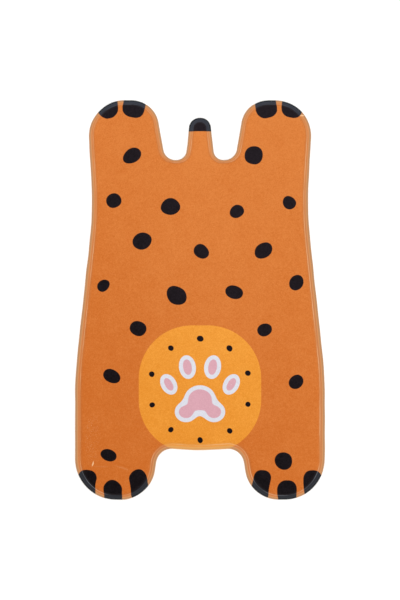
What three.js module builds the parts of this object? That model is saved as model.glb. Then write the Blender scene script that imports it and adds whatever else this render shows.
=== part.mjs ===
// A flat nursery rug cut like a spread animal pelt: a padded body whose edge is pressed thin all
// the way round. A tail lies between two hind paws at the +Y end, two broader front paws are at
// the -Y end, and the left half mirrors the right one. It is one padded piece of cloth.
//
// Millimetres, +Z up. The origin is on the floor, under the middle of the rug's box.

import * as THREE from "three";

// Driving dimensions
const LENGTH = 960; // from the front paws' ends to the hind paws' ends
const WIDTH = 600; // across the front paws, the widest place
const PAD_THICKNESS = 8; // the soft middle
const RIM_THICKNESS = 3; // the pressed edge
const RIM_WIDTH = 12; // from the cut edge to the foot of the pad, on the front half
const SHOULDER_WIDTH = 7; // the rounded step from the rim up to the pad's flat top, there too
const TAIL_END_SHARE = 0.79; // how much of both widths is left at the hind paws' ends
const EDGE_ROUNDING = 0.8; // the cut edge's own small round

// Places along the length
const HIND_END = LENGTH / 2;
const TAIL_END = 438;
const TAIL_ROOT = 336;
const WAIST = 215;
const FLANK = -180;
const BAY_CORNER = -355;
const CHIN = -362;
const FRONT_END = -LENGTH / 2;

// The outline's corners before rounding, on the right half, from the middle of the front bay round
// to the tail. x is the distance from the middle line, and each corner is rounded to its radius.
const CHIN_CORNER = { x: 0, y: CHIN, radius: 500 };
const RIGHT_CORNERS = [
  { place: "front bay", x: 100, y: BAY_CORNER, radius: 38 },
  { place: "front paw, inner side", x: 119, y: FRONT_END, radius: 84 },
  { place: "front paw, outer side", x: WIDTH / 2, y: FRONT_END, radius: 98 },
  { place: "flank", x: WIDTH / 2, y: FLANK, radius: 900 },
  { place: "waist", x: 257, y: WAIST, radius: 900 },
  { place: "hind paw, outer side", x: 272, y: HIND_END, radius: 86 },
  { place: "hind paw, inner side", x: 109, y: HIND_END, radius: 66 },
  { place: "notch beside the tail", x: 84, y: TAIL_ROOT, radius: 30 },
  { place: "tail's root", x: 35, y: TAIL_ROOT, radius: 24 },
  { place: "tail's tip", x: 23.5, y: TAIL_END, radius: 25 },
];

// Where the pressed edge is narrower than beside it, on the right half: how far round the place
// it is so, and the share of its width that is lost there.
const NARROW_PLACES = [
  { place: "notch's bottom", x: 60, y: TAIL_ROOT, reach: 26, lost: 0.4 },
  { place: "front paw's end", x: 210, y: FRONT_END, reach: 75, lost: 0.15 },
];

// How finely arcs are divided
const LARGEST_TURN = THREE.MathUtils.degToRad(7.5);
const LONGEST_CHORD = 32;
const SHOULDER_STEPS = 5;

// The section across the rug's edge at its full width, from the underside round to the pad's flat
// top. inset is the distance in from the cut edge, and height is above the floor.
function edgeSection() {
  const section = [
    { inset: EDGE_ROUNDING, height: 0 },
    { inset: 0, height: EDGE_ROUNDING },
    { inset: 0, height: RIM_THICKNESS - EDGE_ROUNDING },
    { inset: EDGE_ROUNDING, height: RIM_THICKNESS },
  ];
  for (let step = 0; step <= SHOULDER_STEPS; step += 1) {
    const angle = (step / SHOULDER_STEPS) * (Math.PI / 2);
    section.push({
      inset: RIM_WIDTH + SHOULDER_WIDTH * (1 - Math.cos(angle)),
      height: RIM_THICKNESS + (PAD_THICKNESS - RIM_THICKNESS) * Math.sin(angle),
    });
  }
  return section;
}

// How wide the section is at a point of the outline, as a share of its full width. It narrows
// slowly over the front half, faster towards the tail end, and more at the narrow places.
function widthShare(point) {
  const along = (point.y - FRONT_END) / LENGTH;
  let share = 1 - (1 - TAIL_END_SHARE) * along ** 2;
  for (const { x, y, reach, lost } of NARROW_PLACES) {
    const away = Math.hypot(Math.abs(point.x) - x, point.y - y);
    share *= 1 - lost * Math.exp(-((away / reach) ** 2));
  }
  return share;
}

// All corners of the outline, anticlockwise seen from above.
function allCorners() {
  const left = RIGHT_CORNERS.map((corner) => ({ ...corner, x: -corner.x })).reverse();
  return [CHIN_CORNER, ...RIGHT_CORNERS, ...left];
}

// The points of one rounded corner, each with the outline's outward direction there. The arc
// touches both sides of the corner, so that the straights between arcs need no points of their own.
function roundedCorner(before, corner, after) {
  const at = new THREE.Vector2(corner.x, corner.y);
  const back = new THREE.Vector2(before.x, before.y).sub(at).normalize();
  const ahead = new THREE.Vector2(after.x, after.y).sub(at).normalize();
  const halfAngle = Math.acos(back.dot(ahead)) / 2;
  const toCentre = back.clone().add(ahead).setLength(corner.radius / Math.sin(halfAngle));
  const centre = at.clone().add(toCentre);
  const convex = ahead.cross(back) > 0;

  const tangentLength = corner.radius / Math.tan(halfAngle);
  const start = back.clone().multiplyScalar(tangentLength).add(at).sub(centre).angle();
  const turn = Math.PI - 2 * halfAngle;
  const steps = Math.ceil(Math.max(turn / LARGEST_TURN, (turn * corner.radius) / LONGEST_CHORD));
  const points = [];
  for (let step = 0; step <= steps; step += 1) {
    const angle = start + (convex ? turn : -turn) * (step / steps);
    const spoke = new THREE.Vector2(Math.cos(angle), Math.sin(angle));
    points.push({
      point: centre.clone().addScaledVector(spoke, corner.radius),
      outward: convex ? spoke : spoke.negate(),
    });
  }
  return points;
}

function roundedOutline() {
  const corners = allCorners();
  const count = corners.length;
  return corners.flatMap((corner, i) =>
    roundedCorner(corners[(i + count - 1) % count], corner, corners[(i + 1) % count]),
  );
}

// One closed solid: the outline drawn in and raised by each row of the edge section, with walls
// between the rows, and flat faces over the first row and the last.
function rugGeometry() {
  const outline = roundedOutline();
  const count = outline.length;
  const rows = edgeSection();
  const positions = [];
  for (const { inset, height } of rows) {
    for (const { point, outward } of outline) {
      const move = -inset * widthShare(point);
      const place = point.clone().addScaledVector(outward, move);
      positions.push(place.x, place.y, height);
    }
  }

  const faces = [];
  for (let row = 0; row + 1 < rows.length; row += 1) {
    for (let i = 0; i < count; i += 1) {
      const here = row * count + i;
      const next = row * count + ((i + 1) % count);
      faces.push(here, next, next + count, here, next + count, here + count);
    }
  }
  const capOfRow = (row) => {
    const first = row * count;
    const ring = outline.map((_, i) => {
      const at = 3 * (first + i);
      return new THREE.Vector2(positions[at], positions[at + 1]);
    });
    const triangles = THREE.ShapeUtils.triangulateShape(ring, []);
    return triangles.map((triangle) => triangle.map((i) => first + i));
  };
  for (const [a, b, c] of capOfRow(0)) {
    faces.push(a, c, b);
  }
  for (const [a, b, c] of capOfRow(rows.length - 1)) {
    faces.push(a, b, c);
  }

  const geometry = new THREE.BufferGeometry();
  geometry.setAttribute("position", new THREE.Float32BufferAttribute(positions, 3));
  geometry.setIndex(faces);
  geometry.computeVertexNormals();
  return geometry;
}

// Short printed pile, mostly orange.
const printedPile = new THREE.MeshStandardMaterial({
  color: 0xda7a34,
  roughness: 0.95,
  metalness: 0,
});

const rug = new THREE.Mesh(rugGeometry(), printedPile);
rug.name = "mat";

const model = new THREE.Group();
model.add(rug);

export default model;
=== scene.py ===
import math
import random
from typing import NamedTuple

import bpy
import numpy as np
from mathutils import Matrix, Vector
from mathutils.geometry import delaunay_2d_cdt
from mathutils.kdtree import KDTree


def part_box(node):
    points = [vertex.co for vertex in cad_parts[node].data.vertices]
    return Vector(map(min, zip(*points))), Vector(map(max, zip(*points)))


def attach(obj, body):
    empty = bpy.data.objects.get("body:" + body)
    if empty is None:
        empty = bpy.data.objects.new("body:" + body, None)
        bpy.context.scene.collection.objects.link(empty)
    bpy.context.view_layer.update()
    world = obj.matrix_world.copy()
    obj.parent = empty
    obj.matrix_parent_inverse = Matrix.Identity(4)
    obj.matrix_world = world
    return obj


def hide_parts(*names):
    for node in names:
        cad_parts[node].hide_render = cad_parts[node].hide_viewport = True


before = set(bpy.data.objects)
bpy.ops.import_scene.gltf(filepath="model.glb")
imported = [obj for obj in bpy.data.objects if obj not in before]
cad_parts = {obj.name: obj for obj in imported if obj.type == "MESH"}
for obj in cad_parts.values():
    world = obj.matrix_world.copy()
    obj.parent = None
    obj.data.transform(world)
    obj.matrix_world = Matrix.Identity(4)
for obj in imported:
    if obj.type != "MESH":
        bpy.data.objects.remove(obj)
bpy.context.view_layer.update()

# Sizes that the frame gives
LOW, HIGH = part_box("mat")
HALF_WIDTH = (HIGH[0] - LOW[0]) / 2
HALF_LENGTH = (HIGH[1] - LOW[1]) / 2
PAD_THICKNESS = HIGH[2] - LOW[2]


# Outline

# Places along the rug
TAIL_END = 0.438
TAIL_ROOT = 0.336
WAIST = 0.215
FLANK = -0.180
BAY_CORNER = -0.355
CHIN = -0.362

# How finely the outline is divided
LARGEST_TURN = math.radians(2.0)
LONGEST_STEP = 0.0034


class Corner(NamedTuple):
    """A corner of the outline, before it is rounded to its radius."""

    x: float
    y: float
    radius: float


# Corners of the right half, from the middle of the front bay round to the tail
CHIN_CORNER = Corner(0.0, CHIN, 0.500)
RIGHT_CORNERS = (
    Corner(0.100, BAY_CORNER, 0.038),  # front bay
    Corner(0.119, -HALF_LENGTH, 0.084),  # front paw, inner side
    Corner(HALF_WIDTH, -HALF_LENGTH, 0.098),  # front paw, outer side
    Corner(HALF_WIDTH, FLANK, 0.900),
    Corner(0.257, WAIST, 0.900),
    Corner(0.272, HALF_LENGTH, 0.086),  # hind paw, outer side
    Corner(0.109, HALF_LENGTH, 0.066),  # hind paw, inner side
    Corner(0.084, TAIL_ROOT, 0.030),  # notch beside the tail
    Corner(0.035, TAIL_ROOT, 0.024),  # tail's root
    Corner(0.0235, TAIL_END, 0.025),  # tail's tip
)


def rounded_corner(before, corner, after):
    """Points along one rounded corner, and the outline's outward direction at each."""
    at = np.array(corner[:2])
    back = np.array(before[:2]) - at
    ahead = np.array(after[:2]) - at
    back /= np.linalg.norm(back)
    ahead /= np.linalg.norm(ahead)
    half_angle = math.acos(float(back @ ahead)) / 2
    to_centre = (back + ahead) / np.linalg.norm(back + ahead)
    centre = at + to_centre * corner.radius / math.sin(half_angle)
    convex = ahead[0] * back[1] - ahead[1] * back[0] > 0
    start = at + back * corner.radius / math.tan(half_angle) - centre
    turn = math.pi - 2 * half_angle
    steps = math.ceil(max(turn / LARGEST_TURN, turn * corner.radius / LONGEST_STEP))
    angles = math.atan2(start[1], start[0]) + np.linspace(0, turn if convex else -turn, steps + 1)
    spokes = np.stack([np.cos(angles), np.sin(angles)], axis=1)
    return centre + spokes * corner.radius, spokes if convex else -spokes


def add_straight(points, outward, end):
    """Divides the straight from the last point to end, leaving out both of its ends."""
    start = points[-1]
    steps = max(1, round(float(np.linalg.norm(end - start)) / LONGEST_STEP))
    for step in range(1, steps):
        points.append(start + (end - start) * step / steps)
        outward.append(outward[-1])


def outline():
    """The cut edge's points, anticlockwise seen from above, and the outward direction at each."""
    left = tuple(corner._replace(x=-corner.x) for corner in reversed(RIGHT_CORNERS))
    corners = (CHIN_CORNER, *RIGHT_CORNERS, *left)
    points, outward = [], []
    for number, corner in enumerate(corners):
        after = corners[(number + 1) % len(corners)]
        arc, normals = rounded_corner(corners[number - 1], corner, after)
        if points:
            add_straight(points, outward, arc[0])
        points.extend(arc)
        outward.extend(normals)
    add_straight(points, outward, points[0])
    return np.array(points), np.array(outward)


EDGE, OUTWARD = outline()


def edge_tree():
    """A tree that finds the edge point nearest to a place."""
    tree = KDTree(len(EDGE))
    for number, (x, y) in enumerate(EDGE):
        tree.insert((x, y, 0), number)
    tree.balance()
    return tree


EDGE_TREE = edge_tree()


def distance_in(x, y):
    """How far in from the cut edge a place is. It is negative outside."""
    number = EDGE_TREE.find((x, y, 0))[1]
    return float((EDGE[number] - (x, y)) @ OUTWARD[number])


# Unevenness


class Waves(NamedTuple):
    """Smooth random waves: how high and how long they are, and the seed that draws them."""

    height: float
    length: float
    seed: int


PRINT_WAVES = (
    Waves(0.0010, 0.060, 3),  # the dark print, across the rug
    Waves(0.0010, 0.060, 4),  # and along it
)
PILE_WAVES = (
    Waves(0.00028, 0.140, 5),  # swells
    Waves(0.00009, 0.022, 6),  # ripples
    Waves(0.00005, 0.0075, 10),  # tufts
)
CUT_WAVES = Waves(0.00022, 0.080, 7)  # the cut edge, seen from above
PUCKER_WAVES = Waves(0.00016, 0.013, 8)  # the pad's foot, seen from above
LIP_WAVES = Waves(0.00012, 0.060, 9)  # the height of the rim and the shoulder
WAVES_ADDED = 14
LENGTH_SPREAD = (0.7, 1.5)  # as shares of the given length


def offset(x, y, waves):
    """How far random waves lift or move a place: a sum of waves in many directions, of lengths
    spread round the given one."""
    draw = np.random.default_rng(waves.seed)
    total = np.zeros_like(x)
    for _ in range(WAVES_ADDED):
        angle, phase = draw.uniform(0, 2 * math.pi, 2)
        turns = 2 * math.pi / (waves.length * draw.uniform(*LENGTH_SPREAD))
        total += np.sin(turns * (x * math.cos(angle) + y * math.sin(angle)) + phase)
    total /= math.sqrt(WAVES_ADDED / 2)
    return waves.height * total


# Print, as signed distances that are negative inside a shape


class Shape(NamedTuple):
    """An oval or a bar, turned anticlockwise by its tilt."""

    x: float
    y: float
    half_width: float
    half_height: float
    tilt: float = 0.0


class ToeFan(NamedTuple):
    """Toe marks fanned round a middle on the right half, facing the tail end (1) or the front (-1).
    Mark 0 points straight ahead. The others turn and tilt by their number times the steps."""

    x: float
    y: float
    facing: int
    radius: float
    marks: tuple
    turn_step: float
    tilt_step: float
    half_width: float
    half_height: float


# Scattered spots: how they are spread, how they vary and how far they keep from everything else
SPOT_SEED = 359
SPOT_ROWS = 8
SPOT_COLUMNS = range(-3, 4)
FIRST_SPOT_ROW = 0.334
SPOT_ROW_PITCH = 0.104
SPOT_PITCH = 0.142
SPOT_JITTER = 0.022
SPOT_HALF_WIDTHS = (0.0165, 0.0245)
SPOT_HEIGHT_SHARES = (0.74, 1.0)
LARGEST_SPOT_TILT = 0.6
EDGE_MARGIN = 0.038
PATCH_MARGIN = 0.030
TOE_MARGIN = 0.036

# Dark ends of the paws and the tail
TOE_FANS = (
    ToeFan(0.2095, -0.384, -1, 0.088, (-1, 0, 1), 0.80, 0.13, 0.0225, 0.0385),  # front paw
    ToeFan(0.1905, 0.398, 1, 0.078, (-1, 1), 0.42, -0.14, 0.0250, 0.0320),  # hind paw
)
TOE_ROUNDING = 0.0205
TAIL_TIP_LENGTH = 0.033
TAIL_TIP_REACH = 0.060  # to each side: past the tail, and short of the hind paws

# The pale patch between the front paws, and the ring of small dots on it
PATCH = Shape(0.0, -0.214, 0.147, 0.153)
PATCH_ROUNDING = 0.128
RING_DOTS = 10
RING_RADIUS = 0.121
DOT_RADIUS = 0.0068

# The paw print on the patch. Its pads are in its own units, which are metres before scaling.
PAW_PRINT_MIDDLE = (0.0, -0.226)
PAW_PRINT_SCALE = 1.12
MAIN_PAD = Shape(0.0, -0.012, 0.034, 0.031)
SIDE_LOBE = Shape(0.030, -0.038, 0.024, 0.022)
LOBE_BLEND = 0.016
TOE_PADS = (
    Shape(0.027, 0.058, 0.0180, 0.0255, -0.16),
    Shape(0.067, 0.021, 0.0165, 0.0235, -0.52),
)
PINK_INSET = 0.0098  # the white border's width


def both_sides(shape):
    """The mirror image of a shape on the right half, and the shape itself."""
    return [shape._replace(x=-shape.x, tilt=-shape.tilt), shape]


def measured_in(shape, x, y):
    """Places measured along and across a tilted shape, from its middle."""
    along = (x - shape.x) * math.cos(shape.tilt) + (y - shape.y) * math.sin(shape.tilt)
    across = (y - shape.y) * math.cos(shape.tilt) - (x - shape.x) * math.sin(shape.tilt)
    return along, across


def oval(x, y, shape):
    """Signed distance to an oval, exact at its edge."""
    along, across = measured_in(shape, x, y)
    scaled = np.hypot(along / shape.half_width, across / shape.half_height)
    steepness = np.hypot(along / shape.half_width**2, across / shape.half_height**2)
    return scaled * (scaled - 1) / np.maximum(steepness, 1.0)


def bar(x, y, shape, rounding):
    """Signed distance to a rectangle with rounded corners."""
    along, across = measured_in(shape, x, y)
    beyond_x = np.abs(along) - (shape.half_width - rounding)
    beyond_y = np.abs(across) - (shape.half_height - rounding)
    outside = np.hypot(np.maximum(beyond_x, 0), np.maximum(beyond_y, 0))
    return outside + np.minimum(np.maximum(beyond_x, beyond_y), 0) - rounding


def ovals(x, y, shapes):
    """Signed distance to the nearest of several ovals."""
    return np.min([oval(x, y, shape) for shape in shapes], axis=0)


def soft_union(first, second, blend):
    """The union of two shapes, with a hollow between them filled over the blend distance."""
    share = np.clip(0.5 + (second - first) / (2 * blend), 0, 1)
    return second + (first - second) * share - blend * share * (1 - share)


def toe_bars():
    """Bars over each paw's end, half of each off the edge."""
    found = []
    for fan in TOE_FANS:
        for mark in fan.marks:
            angle = fan.turn_step * mark
            x = fan.x + fan.radius * math.sin(angle)
            y = fan.y + fan.facing * fan.radius * math.cos(angle)
            right = Shape(x, y, fan.half_width, fan.half_height, fan.tilt_step * mark)
            found += both_sides(right)
    return found


TOE_BARS = toe_bars()


def toe_marks(x, y):
    return np.min([bar(x, y, shape, TOE_ROUNDING) for shape in TOE_BARS], axis=0)


def tail_tip(x, y):
    """The tail's dark end. The hind paws beside it are left out."""
    return np.maximum(TAIL_END - TAIL_TIP_LENGTH - y, np.abs(x) - TAIL_TIP_REACH)


def patch(x, y):
    return bar(x, y, PATCH, PATCH_ROUNDING)


def spots():
    """Spots in staggered rows, each moved a little, that clear the edge and the other print."""
    draw = random.Random(SPOT_SEED)
    found = []
    for row in range(SPOT_ROWS):
        for column in SPOT_COLUMNS:
            x = (column + row % 2 / 2) * SPOT_PITCH + draw.uniform(-SPOT_JITTER, SPOT_JITTER)
            y = FIRST_SPOT_ROW - row * SPOT_ROW_PITCH + draw.uniform(-SPOT_JITTER, SPOT_JITTER)
            half_width = draw.uniform(*SPOT_HALF_WIDTHS)
            half_height = half_width * draw.uniform(*SPOT_HEIGHT_SHARES)
            tilt = draw.uniform(-LARGEST_SPOT_TILT, LARGEST_SPOT_TILT)
            clear_of_print = patch(x, y) > PATCH_MARGIN and toe_marks(x, y) > TOE_MARGIN
            if clear_of_print and distance_in(x, y) > EDGE_MARGIN:
                found.append(Shape(x, y, half_width, half_height, tilt))
    return found


def ring_of_dots():
    """Small dots in a ring round the patch's middle."""
    found = []
    for number in range(RING_DOTS):
        angle = 2 * math.pi * (number + 0.5) / RING_DOTS
        x = PATCH.x + RING_RADIUS * math.cos(angle)
        y = PATCH.y + RING_RADIUS * math.sin(angle)
        found.append(Shape(x, y, DOT_RADIUS, DOT_RADIUS))
    return found


def paw_pads(x, y):
    """The paw print's five pads: a main one of three lobes, and four toes."""
    x = (x - PAW_PRINT_MIDDLE[0]) / PAW_PRINT_SCALE
    y = (y - PAW_PRINT_MIDDLE[1]) / PAW_PRINT_SCALE
    main = oval(x, y, MAIN_PAD)
    for lobe in both_sides(SIDE_LOBE):
        main = soft_union(main, oval(x, y, lobe), LOBE_BLEND)
    toes = [shape for toe in TOE_PADS for shape in both_sides(toe)]
    return np.minimum(main, ovals(x, y, toes)) * PAW_PRINT_SCALE


def print_distances(x, y):
    """Signed distances to the print's shapes. The dark ones are slightly uneven."""
    across, along = PRINT_WAVES
    uneven = (x + offset(x, y, across), y + offset(x, y, along))
    marks = ovals(*uneven, spots() + ring_of_dots())
    ends = np.minimum(toe_marks(*uneven), tail_tip(x, y))
    pads = paw_pads(x, y)
    return {
        "dark": np.minimum(marks, ends),
        "patch": patch(x, y),
        "white": pads,
        "pink": pads + PINK_INSET,
    }


# Section across the edge

# Heights, and distances in from the cut edge where the section has its full width
RIM_THICKNESS = 0.0030
RIM_WIDTH = 0.0120
WALL_HEIGHT = 0.0015  # where the cut wall ends and the lip's round begins
WALL_ROUND = 0.0007  # between the underside and the cut wall
ROUND_MIDDLE = 0.3  # the place of a small round's middle point, as a share of its radius
LIP_ROUND = 0.0024
GROOVE = (0.0071, 0.0108)
GROOVE_DEPTH = 0.0007
RIDGE_HEIGHT = 0.0003  # of the pad's foot above the rim
SHOULDER_WIDTH = 0.0070
SHOULDER_ROUNDNESS = 0.35  # the share of its rise that is round. The rest is a smooth step.
LAST_ROW = 0.0210  # the innermost one, on the pad
UNDERSIDE_ROW = 0.0120  # the innermost one below

# How many rows each part of the section has
LIP_ROWS = 6
RIM_ROWS = 10
SHOULDER_ROWS = 11

# The pucker at the pad's foot: how far in it is strongest, and how far it reaches from there
PUCKER_MIDDLE = 0.0130
PUCKER_REACH = 0.0035

# The rug's materials, in the order in which they are added
PILE, PRESSED, BACKING = range(3)


class Row(NamedTuple):
    """A row of the section, and the material between it and the row before."""

    inset: float
    height: float
    material: int


class NarrowPlace(NamedTuple):
    """A place of the right half where the section is narrower: how far round the place it is so,
    and the share of its width that is lost there."""

    x: float
    y: float
    reach: float
    lost: float


TAIL_END_SHARE = 0.79  # of the section's full width
NARROW_PLACES = (
    NarrowPlace(0.060, TAIL_ROOT, 0.026, 0.40),  # notch's bottom
    NarrowPlace(0.210, -HALF_LENGTH, 0.075, 0.15),  # front paw's end
)


def section():
    """Rows across the edge, from the underside round to the pad."""
    corner = WALL_ROUND * ROUND_MIDDLE
    rows = [
        Row(UNDERSIDE_ROW, 0.0, BACKING),
        Row(WALL_ROUND, 0.0, BACKING),
        Row(corner, corner, BACKING),
        Row(0.0, WALL_ROUND, BACKING),
    ]
    for angle in np.linspace(0, math.pi / 2, LIP_ROWS):
        rise = (RIM_THICKNESS - WALL_HEIGHT) * math.sin(angle)
        rows.append(Row(LIP_ROUND * (1 - math.cos(angle)), WALL_HEIGHT + rise, PRESSED))
    for inset in np.linspace(LIP_ROUND, RIM_WIDTH, RIM_ROWS + 2)[1:-1]:
        across = min(max((inset - GROOVE[0]) / (GROOVE[1] - GROOVE[0]), 0), 1)
        dip = GROOVE_DEPTH * math.sin(math.pi * across) ** 2
        rows.append(Row(inset, RIM_THICKNESS + RIDGE_HEIGHT * across - dip, PRESSED))
    foot = RIM_THICKNESS + RIDGE_HEIGHT
    for step in np.linspace(0, 1, SHOULDER_ROWS):
        round_rise = 1 - (1 - step) ** 2
        smooth_rise = step**2 * (3 - 2 * step)
        rise = SHOULDER_ROUNDNESS * round_rise + (1 - SHOULDER_ROUNDNESS) * smooth_rise
        height = foot + (PAD_THICKNESS - foot) * rise
        rows.append(Row(RIM_WIDTH + SHOULDER_WIDTH * step, height, PILE))
    rows.append(Row(LAST_ROW, PAD_THICKNESS, PILE))
    return rows


ROWS = section()


def width_share(x, y):
    """How wide the section is at an edge point, as a share of its full width. It narrows slowly
    over the front half, faster towards the tail end, and more at the narrow places."""
    along = (y + HALF_LENGTH) / (2 * HALF_LENGTH)
    share = 1 - (1 - TAIL_END_SHARE) * along**2
    for place in NARROW_PLACES:
        away = np.hypot(np.abs(x) - place.x, y - place.y)
        share *= 1 - place.lost * np.exp(-((away / place.reach) ** 2))
    return share


# Mesh

# Loose vertices in the pad: their pitch, and their gap to the section's last row
PILE_PITCH = 0.0030
PILE_GAP = 0.0018

# Filling a ring with triangles: only inside it, and places nearer than this count as one
INSIDE_ONLY = 1
SAME_PLACE = 1e-7

MAP_MARGIN = 0.008  # as a share of the map's side


def pile_lift(x, y, inset):
    """How far the pad's face lies above or below its even height. It fades out at the rim."""
    fade = np.clip((inset - RIM_WIDTH) / SHOULDER_WIDTH, 0, 1)
    return fade * sum(offset(x, y, waves) for waves in PILE_WAVES)


def edge_rings():
    """The places of each row of the section, all the way round the rug."""
    share = width_share(*EDGE.T)
    wobble = offset(*EDGE.T, CUT_WAVES)
    pucker = offset(*EDGE.T, PUCKER_WAVES)
    lip_lift = offset(*EDGE.T, LIP_WAVES)
    rings = []
    for row in ROWS:
        near_cut = max(0.0, 1 - row.inset / RIM_WIDTH)
        near_foot = max(0.0, 1 - abs(row.inset - PUCKER_MIDDLE) / PUCKER_REACH)
        ring = EDGE - OUTWARD * (row.inset * share - wobble * near_cut)[:, None]
        ring -= OUTWARD * (pucker * near_foot)[:, None]
        heights = np.full(len(EDGE), row.height)
        if row.height > WALL_ROUND:
            heights += lip_lift * min(1.0, row.height / RIM_THICKNESS)
            heights += pile_lift(*ring.T, row.inset)
        rings.append(np.column_stack([ring, heights]))
    return rings


def pad_places():
    """Places in staggered rows all over the pad, within the section's last row."""
    places = []
    row_pitch = PILE_PITCH * math.sqrt(3) / 2
    rows = int(HALF_LENGTH / row_pitch)
    columns = int(HALF_WIDTH / PILE_PITCH) + 1
    for row in range(-rows, rows + 1):
        y = row * row_pitch
        for column in range(-columns, columns + 1):
            x = (column + row % 2 / 2) * PILE_PITCH
            if distance_in(x, y) > LAST_ROW + PILE_GAP:
                places.append((x, y))
    return np.array(places)


def rug_places():
    """All vertices, ring by ring and then over the pad, and how far in each lies."""
    pad = pad_places()
    pad_insets = np.array([distance_in(x, y) for x, y in pad])
    pad_heights = PAD_THICKNESS + pile_lift(*pad.T, pad_insets)
    places = np.concatenate([*edge_rings(), np.column_stack([pad, pad_heights])])
    ring_insets = np.repeat([row.inset for row in ROWS], len(EDGE))
    return places, np.concatenate([ring_insets, pad_insets])


def fill(places, ring, inner):
    """Triangles that fill a ring of vertices, over the inner vertices. Both are given by number."""
    numbers = [*ring, *inner]
    flat = [Vector(places[number][:2]) for number in numbers]
    loop = list(range(len(ring)))
    made = delaunay_2d_cdt(flat, [], [loop], INSIDE_ONLY, SAME_PLACE)
    _, _, triangles, origins, _, _ = made
    vertices = [numbers[origin[0]] for origin in origins]
    return [tuple(vertices[corner] for corner in triangle) for triangle in triangles]


def rug_faces(places):
    """All faces, the material of each, and how many faces at the end are the flat underside."""
    count = len(EDGE)
    faces, materials = [], []
    for number, row in enumerate(ROWS[1:]):
        for place in range(count):
            here = number * count + place
            beside = number * count + (place + 1) % count
            faces.append((here, beside, beside + count, here + count))
            materials.append(row.material)
    pad_start = len(ROWS) * count
    top = fill(places, range(pad_start - count, pad_start), range(pad_start, len(places)))
    under = [face[::-1] for face in fill(places, range(count), [])]
    materials += [PILE] * len(top) + [BACKING] * len(under)
    return faces + top + under, materials, len(under)


def rolled_out(places):
    """Where each vertex of the printed face lies once its edge is rolled out flat around it, and
    how far the flat face then reaches past the cut edge."""
    flat = places[:, :2].copy()
    share = width_share(*EDGE.T)[:, None]
    beyond = 0.0
    for number in range(len(ROWS) - 2, 0, -1):
        beyond += math.dist(ROWS[number][:2], ROWS[number + 1][:2])
        first = number * len(EDGE)
        flat[first : first + len(EDGE)] = EDGE - OUTWARD * share * (LAST_ROW - beyond)
    return flat, beyond - LAST_ROW


def add_map(mesh, places, flat_faces):
    """Lays the mesh out on a square: the printed face with its edge rolled out, and the underside
    beside it, mirrored and smaller."""
    flat, overhang = rolled_out(places)
    half_width, half_length = HALF_WIDTH + overhang, HALF_LENGTH + overhang
    scale = (1 - 2 * MAP_MARGIN) / (2 * half_length)
    printed = (flat + (half_width, half_length)) * scale + MAP_MARGIN
    room = 1 - 2 * half_width * scale - 3 * MAP_MARGIN
    underside = (places[:, :2] * (-1, 1) + (HALF_WIDTH, HALF_LENGTH)) * room / (2 * HALF_WIDTH)
    underside += (1 - MAP_MARGIN - room, MAP_MARGIN)

    below = np.zeros(len(mesh.polygons), bool)
    below[: len(EDGE)] = True
    below[-flat_faces:] = True
    corners = np.empty(len(mesh.polygons), np.int32)
    mesh.polygons.foreach_get("loop_total", corners)
    vertices = np.empty(len(mesh.loops), np.int32)
    mesh.loops.foreach_get("vertex_index", vertices)
    on_underside = np.repeat(below, corners)[:, None]
    on_map = np.where(on_underside, underside[vertices], printed[vertices])
    layer = mesh.uv_layers.new(name="OFBake")
    layer.data.foreach_set("uv", on_map.astype(np.float32).ravel())


def new_object(name, data):
    made = bpy.data.objects.new(name, data)
    bpy.context.scene.collection.objects.link(made)
    return made


def make_rug():
    """The rug, with all that its materials read stored on it: how far in each vertex lies, and its
    distances to the print's shapes."""
    places, insets = rug_places()
    faces, materials, flat_faces = rug_faces(places)
    mesh = bpy.data.meshes.new("rug")
    mesh.from_pydata(places.tolist(), [], faces)
    mesh.polygons.foreach_set("material_index", materials)
    smooth = np.ones(len(faces), bool)
    smooth[-flat_faces:] = False
    mesh.polygons.foreach_set("use_smooth", smooth)
    x, y = places[:, 0], places[:, 1]
    for name, values in {"inset": insets, **print_distances(x, y)}.items():
        attribute = mesh.attributes.new(name, "FLOAT", "POINT")
        attribute.data.foreach_set("value", values.astype(np.float32))
    add_map(mesh, places, flat_faces)
    for material in (pile_material(), pressed_material(), backing_material()):
        mesh.materials.append(material)
    return new_object("rug", mesh)


# Colours, wear, and painted light and shade


class Ink(NamedTuple):
    """An ink's shades: deep and pale in the pile; pressed flat, paler partly as painted sheen; and
    along the crease, a painted highlight.
    """

    deep: tuple
    pale: tuple
    flat: tuple
    crease_highlight: tuple


class Band(NamedTuple):
    """A band across the edge, by the distance in from the cut edge."""

    begins: float
    full: float
    fades: float
    ends: float


class Mark(NamedTuple):
    """An oval, and how strongly its place is changed."""

    shape: Shape
    strength: float


def linear(red, green, blue):
    """A colour as light, from its screen values of 0 to 255."""
    values = [value / 255 for value in (red, green, blue)]
    light = [v / 12.92 if v <= 0.04045 else ((v + 0.055) / 1.055) ** 2.4 for v in values]
    return (*light, 1.0)


def grey(level):
    return (level, level, level, 1.0)


def new_ink(*shades):
    return Ink(*(linear(*shade) for shade in shades))


# The pressed shades are paler partly as painted sheen; the crease shades are painted highlights.
GROUND_INK = new_ink((183, 94, 30), (202, 120, 58), (191, 131, 80), (214, 166, 126))
PATCH_INK = new_ink((206, 127, 36), (226, 153, 62), (207, 148, 77), (224, 176, 124))
DARK_INK = new_ink((3, 0, 2), (29, 23, 29), (50, 56, 69), (104, 108, 116))
WHITE_INK = new_ink((195, 197, 207), (209, 211, 220), (200, 200, 206), (210, 210, 214))
PINK_INK = new_ink((193, 146, 158), (206, 160, 172), (200, 162, 172), (210, 180, 186))
# The darkest pressed dark ink, painted shade on the lip
DARK_LIP_SHADE = linear(12, 16, 22)  # dark ink pressed flat on the lip
# Grey-brown painted shade on the lip's round and in the groove
PAINTED_EDGE_SHADE = linear(114, 107, 84)
RUBBED = linear(228, 188, 142)

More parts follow.
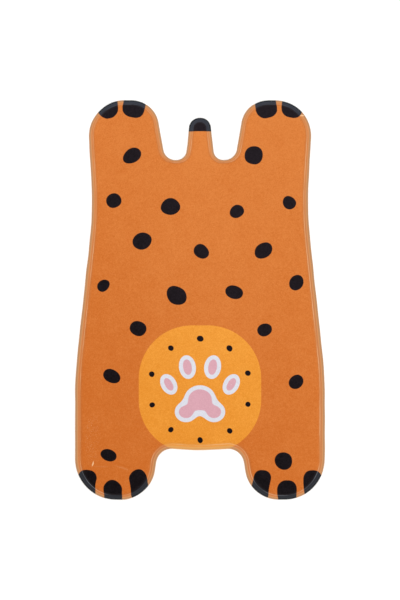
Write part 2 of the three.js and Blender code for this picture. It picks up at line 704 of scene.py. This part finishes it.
# The print's edges: how far the fibres fray them, how long a fray is, and how far to each side
# they are blurred
PRINT_FRAY = 0.0010
FRAY_SIZE = 0.0011
PRINT_BLUR = 0.0004

# Fibres: their width, that width as a share of their length, and how they bend
FIBRE_WIDTH = 0.0008
FIBRE_SLIMNESS = 0.36
BEND_LENGTH = 0.012
BEND_SIZE = 0.004

# Tufts, and their height as a share of the fibres'
TUFT_SIZE = 0.0045
TUFT_SHARE = 0.9

# The nap's shade: its average, how much the fibres count, the size and weight of each layer of
# lumps, and how much paler it is painted a metre along each axis, as painted light brighter towards
# the tail end and the right
NAP_AVERAGE = 0.475
FIBRE_WEIGHT = 1.5
NAP_LAYERS = ((0.0013, 1.2), (0.0024, 1.5), (0.0060, 0.75), (0.0450, 0.45))
PAINTED_LIGHT_SLOPE = (0.36, 0.58, 0.0)

# Where the pile is paler: at the tail, and in the middle as a painted pool of light. Each oval is
# even out to its core.
PALER_PILE = (
    Mark(Shape(0.0, 0.405, 0.100, 0.135), 0.20),  # tail
    # painted pool of light
    Mark(Shape(0.010, 0.060, 0.210, 0.290), 0.10),  # middle
)
PALER_PILE_CORE = 0.4

# Where the pile is painted paler over the shoulder, as painted light against the slope's shade, and
# how much paler it is there
SHOULDER_LIGHT_BAND = Band(0.0110, 0.0135, 0.0150, 0.0190)
SHOULDER_LIGHT = 0.22

# Steps in how far the pile is pressed and carries painted sheen, each (distance in where it begins,
# where it ends, change)
PRESSED_STEPS = (
    (0.0065, 0.0079, -0.60),  # into the groove
    (0.0102, 0.0114, 0.14),  # on to the ridge at the pad's foot
    (0.0116, 0.0152, -0.60),  # up the shoulder
)

# The painted highlight along the crease at the pad's foot: where it lies, how long its weak and
# strong stretches are, how strong they are and at what noise, how much the noise grows a metre
# along each axis, where along the rug it fades, and to what share
CREASE = Band(0.0108, 0.0116, 0.0123, 0.0131)
CREASE_STRETCH = 0.080
CREASE_STRENGTHS = (0.10, 0.80)
CREASE_NOISE = (0.38, 0.62)
CREASE_LEAN = (0.12, 0.06, 0.0)
CREASE_FADING = (0.34, 0.43)
FADED_CREASE = 0.40

# Dark ink pressed flat gets paler from the lip inwards, and from a share of its full paleness at
# the front to all of it at the tail end: painted shade on the lip's round and towards the front
PALING_INWARDS = (0.0015, 0.0090)
PALING_ALONG = (-0.40, 0.42)
FRONT_PALENESS = 0.42

# Painted shade on the lip's round, from the wall to its top, and the share of it beside the patch
SHADED_LIP = Band(0.0004, 0.0026, 0.0036, 0.0060)
LIP_SHADE = (0.16, 0.36)
PATCH_LIP_SHADE = 0.35
PATCH_LIP_SHADE_BLUR = 0.006

# Painted shade in the groove, and the ovals where it lies
SHADED_GROOVE = Band(0.0070, 0.0088, 0.0096, 0.0110)
GROOVE_SHADE = 0.21
SHADED_GROOVE_PLACES = (
    Shape(0.300, -0.050, 0.110, 0.480),  # right flank
    Shape(-0.118, -0.392, 0.052, 0.062),  # left side of the front bay
)
SHADED_GROOVE_CORE = 0.7

# Marks: pale scuffs and streaks, and furrows in the nap, painted deeper as painted shade of their
# folds.
# They fade between two shares of the way out to an oval's edge, and noise makes that way ragged.
SCUFFS = (
    Mark(Shape(-0.2570, -0.3930, 0.0017, 0.0075, -0.26), 0.85),
    Mark(Shape(0.2450, 0.4430, 0.0068, 0.0016, 0.04), 0.90),
    Mark(Shape(-0.2360, -0.4000, 0.0210, 0.0022, -0.03), 0.05),
    Mark(Shape(-0.1860, -0.4030, 0.0210, 0.0022, -0.29), 0.08),
)
FURROW_SHADES = (
    Mark(Shape(-0.1880, -0.3955, 0.0230, 0.0026, -0.29), 0.75),
    Mark(Shape(-0.1560, -0.4085, 0.0180, 0.0021, -0.02), 0.45),
)
MARK_FADE = (0.55, 1.05)
RAG_SIZE = 0.0014
RAGGEDNESS = 1.6

# Fine pale specks: where they lie, how large and how strong they are, and at what noise they show
SPECKLED = Shape(-0.2580, -0.3350, 0.0220, 0.0800)
SPECKLED_CORE = 0.5
SPECK_SIZE = 0.0019
SPECK_STRENGTH = 0.38
SPECK_NOISE = (0.62, 0.72)


# Shader nodes


def connect(tree, node, inputs):
    """Sets inputs of a node. Each is given a value or another node's output."""
    for name, value in inputs.items():
        if isinstance(value, bpy.types.NodeSocket):
            tree.links.new(value, node.inputs[name])
        else:
            node.inputs[name].default_value = value


def add(tree, kind, inputs, **settings):
    """A new node with its settings and inputs."""
    node = tree.nodes.new(kind)
    for name, value in settings.items():
        setattr(node, name, value)
    connect(tree, node, inputs)
    return node


def maths(tree, operation, first, second=0.0, third=0.0):
    inputs = {0: first, 1: second, 2: third}
    return add(tree, "ShaderNodeMath", inputs, operation=operation).outputs[0]


def mix(tree, share, first, second):
    """A mixture of two colours. The node has inputs of the same names for other data, which are
    not enabled."""
    node = add(tree, "ShaderNodeMix", {}, data_type="RGBA")
    enabled = {socket.name: number for number, socket in enumerate(node.inputs) if socket.enabled}
    inputs = {"Factor": share, "A": first, "B": second}
    connect(tree, node, {enabled[name]: value for name, value in inputs.items()})
    return next(socket for socket in node.outputs if socket.enabled)


def ramp(tree, value, low, high, start=0.0, end=1.0):
    """A smooth step from start to end, as value goes from low to high."""
    inputs = {"Value": value, "From Min": low, "From Max": high, "To Min": start, "To Max": end}
    node = add(tree, "ShaderNodeMapRange", inputs, interpolation_type="SMOOTHSTEP")
    return node.outputs["Result"]


def noise(tree, place, size, detail=2.0, roughness=0.5):
    """Noise whose lumps are about size across."""
    inputs = {"Vector": place, "Scale": 1 / size, "Detail": detail, "Roughness": roughness}
    return add(tree, "ShaderNodeTexNoise", inputs).outputs["Fac"]


def stored(tree, name):
    """A value stored on the mesh."""
    return add(tree, "ShaderNodeAttribute", {}, attribute_name=name).outputs["Fac"]


def vector_maths(tree, operation, inputs, output):
    return add(tree, "ShaderNodeVectorMath", inputs, operation=operation).outputs[output]


def slope(tree, place, rise):
    """A value that is zero at the rug's middle and rises by so much a metre along each axis."""
    return vector_maths(tree, "DOT_PRODUCT", {0: place, 1: rise}, "Value")


def along_rug(tree, place):
    """How far along the rug a place is, from the middle towards the tail."""
    return slope(tree, place, (0.0, 1.0, 0.0))


def band(tree, edges, start=0.0, peak=1.0):
    """A band across the edge, from start at the cut edge to its peak, and then down to nothing."""
    inset = stored(tree, "inset")
    rise = ramp(tree, inset, edges.begins, edges.full, start, peak)
    fall = ramp(tree, inset, edges.fades, edges.ends, 1.0, 0.0)
    return maths(tree, "MULTIPLY", rise, fall)


def reach_from(tree, place, shape):
    """How far a place is from the middle of an oval, where 1 is the oval's edge."""
    within = {
        "Vector": place,
        "Location": (shape.x, shape.y, 0.0),
        "Rotation": (0.0, 0.0, shape.tilt),
        "Scale": (shape.half_width, shape.half_height, 1.0),
    }
    moved = add(tree, "ShaderNodeMapping", within, vector_type="TEXTURE").outputs["Vector"]
    return vector_maths(tree, "LENGTH", {0: moved}, "Value")


def soft_oval(tree, place, shape, core, strength=1.0):
    """An oval that is even out to its core and then fades to nothing at its edge."""
    return ramp(tree, reach_from(tree, place, shape), core, 1.0, strength, 0.0)


def bump(tree, height, strength, depth):
    inputs = {"Height": height, "Strength": strength, "Distance": depth}
    return add(tree, "ShaderNodeBump", inputs).outputs["Normal"]


# Materials


def fibres(tree, place):
    """Brushed fibres: fine noise, drawn out along the rug and bent a little."""
    wander = add(tree, "ShaderNodeTexNoise", {"Vector": place, "Scale": 1 / BEND_LENGTH})
    inputs = {0: wander.outputs["Color"], "Scale": BEND_SIZE}
    bend = vector_maths(tree, "SCALE", inputs, "Vector")
    bent = vector_maths(tree, "ADD", {0: place, 1: bend}, "Vector")
    drawn = {"Vector": bent, "Scale": (1.0, FIBRE_SLIMNESS, 1.0)}
    drawn_out = add(tree, "ShaderNodeMapping", drawn).outputs["Vector"]
    return noise(tree, drawn_out, FIBRE_WIDTH, detail=3.0, roughness=0.65)


def nap(tree, place):
    """Shade of the pile, from 0 to 1: brushed fibres, lumps and broad areas. It is painted darker
    towards the front and the left and paler towards the tail end and the right, as painted light.
    It is paler at the tail, paler in the middle as a painted pool of light, and paler over the
    shoulder as painted light."""
    shade = maths(tree, "ADD", slope(tree, place, PAINTED_LIGHT_SLOPE), NAP_AVERAGE)
    for shape, paling in PALER_PILE:
        shade = maths(tree, "ADD", shade, soft_oval(tree, place, shape, PALER_PILE_CORE, paling))
    strands = maths(tree, "SUBTRACT", fibres(tree, place), 0.5)
    shade = maths(tree, "MULTIPLY_ADD", strands, FIBRE_WEIGHT, shade)
    lumps = -sum(weight for _, weight in NAP_LAYERS) / 2
    for size, weight in NAP_LAYERS:
        layer = noise(tree, place, size, detail=3.0, roughness=0.6)
        lumps = maths(tree, "MULTIPLY_ADD", layer, weight, lumps)
    shade = maths(tree, "ADD", shade, lumps)
    return maths(tree, "ADD", shade, band(tree, SHOULDER_LIGHT_BAND, peak=SHOULDER_LIGHT))


def pressed_and_sheen_share(tree):
    """How far the pile is pressed flat: wholly at the cut edge, less in the groove, more again on
    the ridge at the pad's foot, and less and less up the shoulder. This share also sets the painted
    sheen of the pressed shades, so its dip paints the groove darker as painted shade."""
    inset = stored(tree, "inset")
    share = 1.0
    for begins, ends, change in PRESSED_STEPS:
        share = maths(tree, "ADD", share, ramp(tree, inset, begins, ends, 0.0, change))
    return maths(tree, "MAXIMUM", share, 0.0)


def crease_highlight_share(tree, place):
    """The painted highlight along the crease on the ridge at the pad's foot. It is stronger on some
    stretches and dies out at the tail end."""
    stretches = noise(tree, place, CREASE_STRETCH)
    stretches = maths(tree, "ADD", stretches, slope(tree, place, CREASE_LEAN))
    strength = ramp(tree, stretches, *CREASE_NOISE, *CREASE_STRENGTHS)
    fading = ramp(tree, along_rug(tree, place), *CREASE_FADING, 1.0, FADED_CREASE)
    strength = maths(tree, "MULTIPLY", strength, fading)
    return maths(tree, "MULTIPLY", band(tree, CREASE), strength)


def painted_shade_share(tree, place):
    """How much painted shade lies on the lip's round at the cut edge, least beside the patch, and
    in the groove at some places."""
    lip = band(tree, SHADED_LIP, *LIP_SHADE)
    from_patch = stored(tree, "patch")
    off_patch = ramp(tree, from_patch, -PATCH_LIP_SHADE_BLUR, PATCH_LIP_SHADE_BLUR, PATCH_LIP_SHADE, 1.0)
    lip = maths(tree, "MULTIPLY", lip, off_patch)
    shaded_places = 0.0
    for shape in SHADED_GROOVE_PLACES:
        shaded_places = maths(tree, "MAXIMUM", shaded_places, soft_oval(tree, place, shape, SHADED_GROOVE_CORE))
    groove = maths(tree, "MULTIPLY", band(tree, SHADED_GROOVE, peak=GROOVE_SHADE), shaded_places)
    return maths(tree, "MAXIMUM", lip, groove)


def marked_share(tree, place, marks):
    """How strongly a place is marked by any of some ragged ovals."""
    rags = noise(tree, place, RAG_SIZE, detail=3.0, roughness=0.6)
    rags = maths(tree, "MULTIPLY_ADD", rags, RAGGEDNESS, -RAGGEDNESS / 2)
    share = 0.0
    for shape, strength in marks:
        reach = maths(tree, "ADD", reach_from(tree, place, shape), rags)
        share = maths(tree, "MAXIMUM", share, ramp(tree, reach, *MARK_FADE, strength, 0.0))
    return share


def worn_share(tree, place):
    """How pale the pile is rubbed: ragged scuffs, and specks along part of one side."""
    lumps = noise(tree, place, SPECK_SIZE, detail=1.0)
    specks = ramp(tree, lumps, *SPECK_NOISE, 0.0, SPECK_STRENGTH)
    specks = maths(tree, "MULTIPLY", specks, soft_oval(tree, place, SPECKLED, SPECKLED_CORE))
    return maths(tree, "MAXIMUM", marked_share(tree, place, SCUFFS), specks)


def dark_ink_with_shade(tree, place):
    """The dark ink, whose pressed shade is deepest on the lip at the cut edge and towards the
    front, as painted shade.
    """
    inwards = ramp(tree, stored(tree, "inset"), *PALING_INWARDS)
    along = ramp(tree, along_rug(tree, place), *PALING_ALONG, FRONT_PALENESS, 1.0)
    share = maths(tree, "MULTIPLY", inwards, along)
    return DARK_INK._replace(flat=mix(tree, share, DARK_LIP_SHADE, DARK_INK.flat))


def printed_colour(tree, place):
    """The print's colour, from the distances stored on the mesh, with edges that the fibres blur.
    Painted shade on the lip, in the groove and along the furrows, and wear, lie over the paler inks
    and don't show on the dark one."""
    shade = nap(tree, place)
    pressed = pressed_and_sheen_share(tree)
    highlight = crease_highlight_share(tree, place)
    fray = noise(tree, place, FRAY_SIZE)
    fray = maths(tree, "MULTIPLY_ADD", fray, PRINT_FRAY, -PRINT_FRAY / 2)

    def ink_colour(ink):
        colour = mix(tree, shade, ink.deep, ink.pale)
        return mix(tree, highlight, mix(tree, pressed, colour, ink.flat), ink.crease_highlight)

    def printed_over(colour, name, ink):
        distance = maths(tree, "ADD", stored(tree, name), fray)
        inside = ramp(tree, distance, -PRINT_BLUR, PRINT_BLUR, 1.0, 0.0)
        return mix(tree, inside, colour, ink_colour(ink))

    colour = ink_colour(GROUND_INK)
    for name, ink in (("patch", PATCH_INK), ("white", WHITE_INK), ("pink", PINK_INK)):
        colour = printed_over(colour, name, ink)
    # painted shade on the lip and in the groove
    colour = mix(tree, painted_shade_share(tree, place), colour, PAINTED_EDGE_SHADE)
    # painted shade along the furrows
    colour = mix(tree, marked_share(tree, place, FURROW_SHADES), colour, GROUND_INK.deep)
    colour = mix(tree, worn_share(tree, place), colour, RUBBED)
    return printed_over(colour, "dark", dark_ink_with_shade(tree, place))


def new_material(name):
    """A new material with its node tree and shader, and the places on the rug in metres."""
    material = bpy.data.materials.new(name)
    material.use_nodes = True
    tree = material.node_tree
    shader = tree.nodes["Principled BSDF"]
    place = add(tree, "ShaderNodeTexCoord", {}).outputs["Object"]
    return material, tree, shader, place


def pile_material():
    material, tree, shader, place = new_material("printed_pile")
    strands = fibres(tree, place)
    tufts = noise(tree, place, TUFT_SIZE)
    height = maths(tree, "MULTIPLY_ADD", tufts, TUFT_SHARE, strands)
    inputs = {
        "Base Color": printed_colour(tree, place),
        "Normal": bump(tree, height, strength=0.75, depth=0.0006),
        "Roughness": ramp(tree, strands, low=0.2, high=0.8, start=0.86, end=1.0),
        "Specular IOR Level": 0.10,
        "Sheen Weight": 0.10,
        "Sheen Roughness": 0.45,
        "Sheen Tint": linear(255, 238, 220),
    }
    connect(tree, shader, inputs)
    return material


def pressed_material():
    material, tree, shader, place = new_material("pressed_pile")
    grain = noise(tree, place, size=0.0012, detail=3.0, roughness=0.6)
    inputs = {
        "Base Color": printed_colour(tree, place),
        "Normal": bump(tree, grain, strength=0.35, depth=0.0003),
        "Roughness": ramp(tree, grain, low=0.25, high=0.75, start=0.44, end=0.62),
        "Specular IOR Level": 0.25,
    }
    connect(tree, shader, inputs)
    return material


def backing_material():
    """The plain backing cloth: a close knit, seen only from below and at the cut edge."""
    material, tree, shader, place = new_material("backing_cloth")
    ribs = {"Vector": place, "Scale": 90.0, "Distortion": 1.5, "Detail": 2.0}
    stitch = add(tree, "ShaderNodeTexWave", ribs, bands_direction="X").outputs["Fac"]
    lumps = noise(tree, place, size=0.0030)
    shade = maths(tree, "MULTIPLY_ADD", lumps, 0.5, stitch)
    inputs = {
        "Base Color": mix(tree, shade, linear(196, 190, 180), linear(216, 212, 204)),
        "Normal": bump(tree, shade, strength=0.4, depth=0.0003),
        "Roughness": ramp(tree, shade, low=0.2, high=1.2, start=0.84, end=0.96),
        "Specular IOR Level": 0.2,
    }
    connect(tree, shader, inputs)
    return material


def floor_material():
    material, tree, shader, place = new_material("floor")
    shade = noise(tree, place, size=0.8, detail=1.0)
    inputs = {
        "Base Color": mix(tree, shade, grey(0.905), grey(0.915)),
        "Roughness": 0.9,
        "Specular IOR Level": 0.1,
    }
    connect(tree, shader, inputs)
    return material


# Camera, floor and light

PHOTO_HEIGHT = 600  # in pixels
RUG_PIXELS = 400  # that the rug's length takes up
CAMERA_HEIGHT = 4.0
SENSOR_WIDTH = 36.0  # in millimetres, like the lens
FLOOR_REACH = 40.0
WORLD_STRENGTH = 0.712


class Softbox(NamedTuple):
    """A soft light that faces the middle of the rug."""

    name: str
    place: tuple
    width: float
    height: float
    power: float
    colour: tuple


SOFTBOXES = (
    Softbox("softbox_tail_end", (-0.25, 1.5, 1.5), 1.6, 0.8, 12.5, (0.98, 1.0, 1.02)),
    Softbox("softbox_front_end", (0.0, -2.6, 3.0), 2.6, 1.2, 45.5, (1.0, 0.90, 0.80)),
    Softbox("softbox_right", (1.7, -0.5, 1.5), 0.8, 1.8, 13.0, (0.98, 1.0, 1.02)),
    Softbox("softbox_left", (-1.7, 0.5, 1.5), 0.8, 1.8, 8.0, (1.0, 0.93, 0.85)),
)


def add_camera():
    """Straight above, with the tail end at the top, at the photo's scale."""
    frame_height = 2 * HALF_LENGTH * PHOTO_HEIGHT / RUG_PIXELS
    data = bpy.data.cameras.new("camera")
    data.sensor_width = SENSOR_WIDTH
    data.lens = SENSOR_WIDTH * (CAMERA_HEIGHT - PAD_THICKNESS) / frame_height
    camera = new_object("camera", data)
    camera.location = (0.0, 0.0, CAMERA_HEIGHT)
    bpy.context.scene.camera = camera


def add_floor():
    """A white floor that reaches far beyond every view."""
    mesh = bpy.data.meshes.new("floor")
    sides = ((-1, -1), (1, -1), (1, 1), (-1, 1))
    corners = [(FLOOR_REACH * x, FLOOR_REACH * y, 0.0) for x, y in sides]
    mesh.from_pydata(corners, [], [(0, 1, 2, 3)])
    mesh.materials.append(floor_material())
    floor = new_object("floor", mesh)


def add_light():
    world = bpy.data.worlds.new("studio")
    world.use_nodes = True
    background = world.node_tree.nodes["Background"]
    connect(world.node_tree, background, {"Color": grey(1.0), "Strength": WORLD_STRENGTH})
    bpy.context.scene.world = world
    for softbox in SOFTBOXES:
        data = bpy.data.lights.new(softbox.name, "AREA")
        data.shape = "RECTANGLE"
        data.size = softbox.width
        data.size_y = softbox.height
        data.energy = softbox.power
        data.color = softbox.colour
        light = new_object(softbox.name, data)
        light.location = softbox.place
        light.rotation_euler = (-Vector(softbox.place)).to_track_quat("-Z", "Y").to_euler()
        light.visible_camera = False
    bpy.context.scene.view_settings.view_transform = "Standard"


add_camera()
rug = make_rug()
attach(rug, "root")
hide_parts("mat")
add_floor()
add_light()
